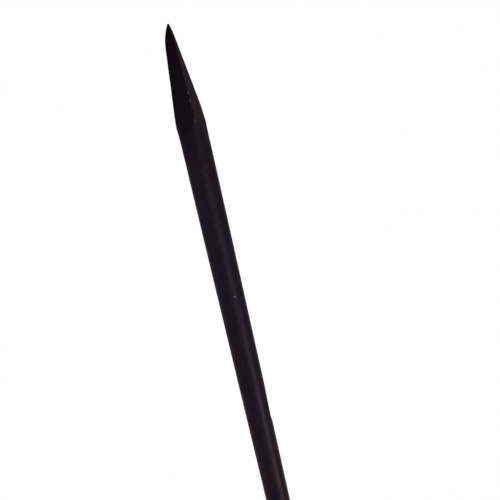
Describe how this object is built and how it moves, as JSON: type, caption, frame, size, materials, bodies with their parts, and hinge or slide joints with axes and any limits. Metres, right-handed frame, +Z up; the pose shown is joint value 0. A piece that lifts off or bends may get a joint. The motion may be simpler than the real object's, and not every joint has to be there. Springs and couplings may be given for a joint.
{
  "type": "digging bar",
  "caption": "Long round black steel digging bar with a forged wedge point for breaking hard ground and a welded round tamping head at the other end.",
  "frame": {"origin": "middle of the flat tamping face, on the bar's axis", "axes": "+Z up the bar to the point; the broad faces of the point look along Y and its narrow faces along X, with the clipped side towards -X"},
  "size_m": [0.07, 0.07, 1.5],
  "materials": {
    "black_bar": "satin black coating on forged steel, a little worn on the edges",
    "black_head": "satin black coating on a steel forging",
    "weld": "rippled weld bead under the black coating",
    "ground_weld": "weld dressed flush under the black coating"
  },
  "bodies": {
    "root": {"forged_bar": "black_bar", "tamping_head": "black_head", "hub_weld": "weld", "face_weld": "ground_weld"}
  },
  "joints": []
}
